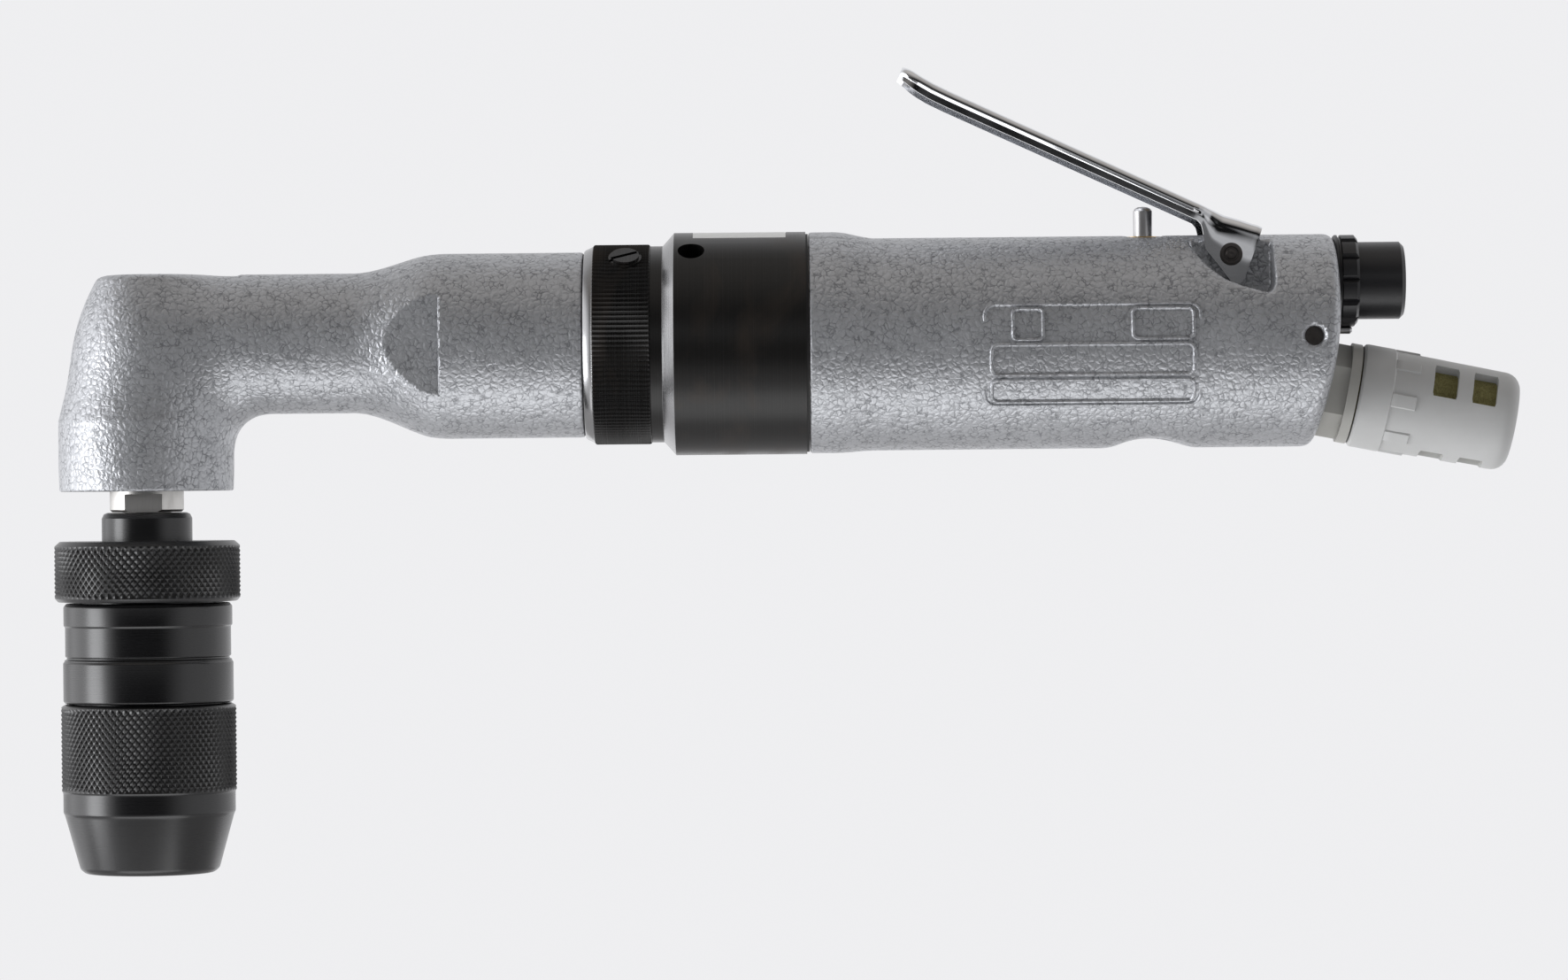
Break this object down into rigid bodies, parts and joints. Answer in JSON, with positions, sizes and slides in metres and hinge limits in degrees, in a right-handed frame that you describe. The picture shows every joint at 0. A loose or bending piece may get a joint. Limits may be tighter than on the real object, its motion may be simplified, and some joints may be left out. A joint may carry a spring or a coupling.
{
  "type": "pneumatic right-angle drill",
  "caption": "Air-powered angle drill: vane-motor grip with throttle lever, geared right-angle head, keyless chuck, hose inlet and exhaust muffler.",
  "frame": {"origin": "centre of the gear case on the motor axis", "axes": "+X along the motor axis from the angle head to the air inlet, +Z towards the throttle lever, the chuck points along -Z"},
  "size_m": [0.3035, 0.046, 0.1652],
  "materials": {
    "hammertone": "silver-grey hammertone enamel on an aluminium casting",
    "black_oxide": "black oxide on turned steel",
    "black_fitting": "satin black",
    "chuck_black": "satin black",
    "bright_steel": "bright plated",
    "ground_steel": "ground",
    "gear_steel": "machined and oiled",
    "chrome": "polished plate",
    "brass": "turned",
    "spring_steel": "drawn wire",
    "sticker": "white label stock",
    "gasket": "dark sealing ring",
    "vane": "laminated cloth resin",
    "grey_plastic": "moulded",
    "felt": "olive fibre"
  },
  "bodies": {
    "housing": {"gear_case": "black_oxide", "case_sticker": "sticker", "case_gasket": "gasket", "ring_gear": "gear_steel", "clamp_nut": "black_oxide", "nut_screw": "black_oxide", "carrier_bearing": "ground_steel", "cylinder_liner": "ground_steel", "front_end_plate": "ground_steel", "rear_end_plate": "ground_steel", "front_bearing": "ground_steel", "rear_bearing": "ground_steel", "motor_housing": "hammertone", "nameplate": "hammertone", "retaining_pin": "bright_steel", "lever_pin": "bright_steel", "valve_bushing": "brass", "valve_seat": "brass", "valve_spring": "spring_steel", "valve_plug": "ground_steel", "inlet_ring": "black_fitting", "inlet_nipple": "black_fitting", "inlet_screen": "brass", "inlet_lock_pin": "bright_steel", "muffler_adapter": "grey_plastic", "muffler_body": "grey_plastic", "muffler_felt": "felt"},
    "head": {"angle_head": "hammertone", "bearing_cap": "bright_steel", "spindle_bearing": "ground_steel", "spindle_top_bush": "brass", "pinion_bearing_front": "ground_steel", "pinion_bearing_rear": "ground_steel", "bearing_spacer": "ground_steel", "bearing_nut": "ground_steel"},
    "spindle": {"spindle": "ground_steel", "bevel_gear": "gear_steel", "chuck_body": "chuck_black", "chuck_grip_ring": "chuck_black"},
    "pinion": {"bevel_pinion": "gear_steel"},
    "carrier": {"planet_carrier": "ground_steel", "planet_pins": "bright_steel"},
    "planet_1": {"planet_gear_1": "gear_steel"},
    "planet_2": {"planet_gear_2": "gear_steel"},
    "planet_3": {"planet_gear_3": "gear_steel"},
    "rotor": {"rotor": "ground_steel", "rotor_vanes": "vane"},
    "hood": {"chuck_sleeve": "chuck_black", "chuck_hood": "chuck_black"},
    "feed": {"chuck_feed_screw": "ground_steel"},
    "jaw_1": {"jaw_1": "ground_steel"},
    "jaw_2": {"jaw_2": "ground_steel"},
    "jaw_3": {"jaw_3": "ground_steel"},
    "lever": {"throttle_lever": "chrome"},
    "valve": {"valve_pin": "bright_steel"}
  },
  "joints": [
    {"name": "head_swivel", "type": "hinge", "parent": "housing", "child": "head", "pos_m": [-0.03, 0, 0], "axis": [1, 0, 0], "range_deg": [-180, 180]},
    {"name": "spindle_spin", "type": "hinge", "parent": "head", "child": "spindle", "pos_m": [-0.1235, 0, -0.02], "axis": [0, 0, 1], "continuous": true},
    {"name": "pinion_spin", "type": "hinge", "parent": "head", "child": "pinion", "pos_m": [-0.08, 0, 0], "axis": [1, 0, 0], "continuous": true},
    {"name": "carrier_spin", "type": "hinge", "parent": "housing", "child": "carrier", "pos_m": [-0.017, 0, 0], "axis": [1, 0, 0], "continuous": true},
    {"name": "planet_1_spin", "type": "hinge", "parent": "carrier", "child": "planet_1", "pos_m": [-0.002, 0, 0.0108], "axis": [1, 0, 0], "continuous": true},
    {"name": "planet_2_spin", "type": "hinge", "parent": "carrier", "child": "planet_2", "pos_m": [-0.002, -0.00935, -0.0054], "axis": [1, 0, 0], "continuous": true},
    {"name": "planet_3_spin", "type": "hinge", "parent": "carrier", "child": "planet_3", "pos_m": [-0.002, 0.00935, -0.0054], "axis": [1, 0, 0], "continuous": true},
    {"name": "rotor_spin", "type": "hinge", "parent": "housing", "child": "rotor", "pos_m": [0.042, 0, 0], "axis": [1, 0, 0], "continuous": true},
    {"name": "hood_turn", "type": "hinge", "parent": "spindle", "child": "hood", "pos_m": [-0.1235, 0, -0.08], "axis": [0, 0, 1], "range_deg": [0, 1260]},
    {"name": "screw_feed", "type": "slide", "parent": "hood", "child": "feed", "axis": [0, 0, -1], "range_m": [0, 0.01387]},
    {"name": "jaw_1_slide", "type": "slide", "parent": "hood", "child": "jaw_1", "axis": [-0.309, 0, -0.9511], "range_m": [0, 0.01458]},
    {"name": "jaw_2_slide", "type": "slide", "parent": "hood", "child": "jaw_2", "axis": [0.1545, -0.2676, -0.9511], "range_m": [0, 0.01458]},
    {"name": "jaw_3_slide", "type": "slide", "parent": "hood", "child": "jaw_3", "axis": [0.1545, 0.2676, -0.9511], "range_m": [0, 0.01458]},
    {"name": "lever_press", "type": "hinge", "parent": "housing", "child": "lever", "pos_m": [0.1009, 0, 0.0172], "axis": [0, -1, 0], "range_deg": [0, 17], "stiffness_Nm_per_rad": 0.5, "springref_deg": -17.19},
    {"name": "valve_press", "type": "slide", "parent": "housing", "child": "valve", "axis": [0, 0, -1], "range_m": [0, 0.0024], "deforming": ["valve_spring"]}
  ],
  "couplings": [
    {"joint": "pinion_spin", "follows": "spindle_spin", "ratio": 1.2},
    {"joint": "carrier_spin", "follows": "spindle_spin", "ratio": 1.2},
    {"joint": "planet_1_spin", "follows": "spindle_spin", "ratio": -3},
    {"joint": "planet_2_spin", "follows": "spindle_spin", "ratio": -3},
    {"joint": "planet_3_spin", "follows": "spindle_spin", "ratio": -3},
    {"joint": "rotor_spin", "follows": "spindle_spin", "ratio": 7.2},
    {"joint": "screw_feed", "follows": "hood_turn", "m_per_rad": 0.00062978},
    {"joint": "jaw_1_slide", "follows": "hood_turn", "m_per_rad": 0.00066219},
    {"joint": "jaw_2_slide", "follows": "hood_turn", "m_per_rad": 0.00066219},
    {"joint": "jaw_3_slide", "follows": "hood_turn", "m_per_rad": 0.00066219},
    {"joint": "valve_press", "follows": "lever_press", "m_per_rad": 0.0080807}
  ]
}
